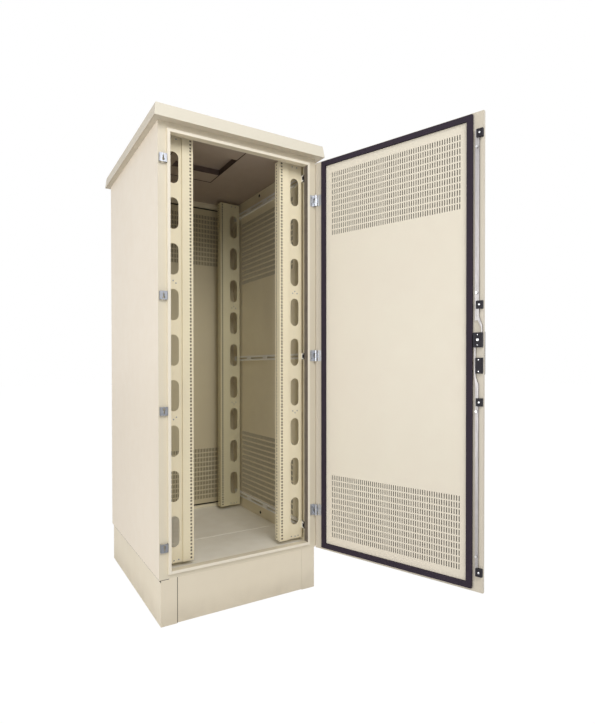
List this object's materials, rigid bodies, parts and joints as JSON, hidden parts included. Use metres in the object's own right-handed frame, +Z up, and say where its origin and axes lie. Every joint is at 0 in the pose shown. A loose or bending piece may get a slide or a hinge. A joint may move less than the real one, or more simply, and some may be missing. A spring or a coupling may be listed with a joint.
{
  "type": "roadside utility cabinet",
  "caption": "tall sheet-steel outdoor equipment cabinet with an open front door, rack posts with holes and slots, vented liners, a plinth and an overhanging roof",
  "frame": {"origin": "on the ground, in the middle of the cabinet's width, in the plane of the front frame", "axes": "+X to the hinge side across the front, +Y from the front into the cabinet, +Z up"},
  "size_m": [1.1419, 1.6928, 2.193],
  "materials": {
    "body_paint": "fine textured powder coat",
    "plinth_paint": "fine textured powder coat",
    "zinc_steel": "bright zinc plate",
    "rod_steel": "pale zinc plate",
    "gasket_rubber": "matt foam rubber",
    "black_plastic": "moulded",
    "handle_black": "black powder coat"
  },
  "bodies": {
    "cabinet": {"ceiling_hatch": "body_paint", "ceiling_panel": "body_paint", "floor_pan": "body_paint", "front_frame": "body_paint", "front_left_post": "body_paint", "front_right_post": "body_paint", "hinge_bottom_frame_leaf": "zinc_steel", "hinge_bottom_pin": "zinc_steel", "hinge_middle_frame_leaf": "zinc_steel", "hinge_middle_pin": "zinc_steel", "hinge_top_frame_leaf": "zinc_steel", "hinge_top_pin": "zinc_steel", "left_bottom_rail": "body_paint", "left_liner": "body_paint", "left_middle_rail": "body_paint", "left_top_rail": "body_paint", "outer_shell": "body_paint", "plinth_front_panel": "plinth_paint", "plinth_left_side": "plinth_paint", "plinth_rear_panel": "plinth_paint", "plinth_right_side": "plinth_paint", "rear_footer_rail": "body_paint", "rear_header_rail": "body_paint", "rear_left_post": "body_paint", "rear_liner": "body_paint", "rear_right_post": "body_paint", "right_bottom_rail": "body_paint", "right_liner": "body_paint", "right_middle_rail": "body_paint", "right_top_rail": "body_paint", "roof_cap": "body_paint", "strike_bottom": "zinc_steel", "strike_lower": "zinc_steel", "strike_top": "zinc_steel", "strike_upper": "zinc_steel"},
    "door": {"door_gasket": "gasket_rubber", "door_inner_panel": "body_paint", "door_skin": "body_paint", "handle_back_block": "black_plastic", "handle_escutcheon": "handle_black", "hinge_bottom_door_leaf": "zinc_steel", "hinge_middle_door_leaf": "zinc_steel", "hinge_top_door_leaf": "zinc_steel", "lock_case": "black_plastic", "rod_guide_bottom": "black_plastic", "rod_guide_lower": "black_plastic", "rod_guide_top": "black_plastic", "rod_guide_upper": "black_plastic"},
    "door_handle": {"handle": "handle_black"},
    "upper_lock_rod": {"upper_rod": "rod_steel", "keeper_pin_top": "zinc_steel", "keeper_pin_upper": "zinc_steel"},
    "lower_lock_rod": {"lower_rod": "rod_steel", "keeper_pin_lower": "zinc_steel", "keeper_pin_bottom": "zinc_steel"}
  },
  "joints": [
    {"name": "door_swing", "type": "hinge", "parent": "cabinet", "child": "door", "pos_m": [0.396, -0.014, 1.16], "axis": [0, 0, 1], "range_deg": [-110.4, 10]},
    {"name": "handle_turn", "type": "hinge", "parent": "door", "child": "door_handle", "pos_m": [0.66841, -0.74649, 1.21], "axis": [-0.9373, -0.3486, 0], "range_deg": [0, 90]},
    {"name": "upper_rod_slide", "type": "slide", "parent": "door", "child": "upper_lock_rod", "axis": [0, 0, 1], "range_m": [0, 0.016]},
    {"name": "lower_rod_slide", "type": "slide", "parent": "door", "child": "lower_lock_rod", "axis": [0, 0, 1], "range_m": [-0.016, 0]}
  ],
  "couplings": [
    {"joint": "upper_rod_slide", "follows": "handle_turn", "m_per_rad": 0.010185},
    {"joint": "lower_rod_slide", "follows": "handle_turn", "m_per_rad": -0.010185}
  ]
}
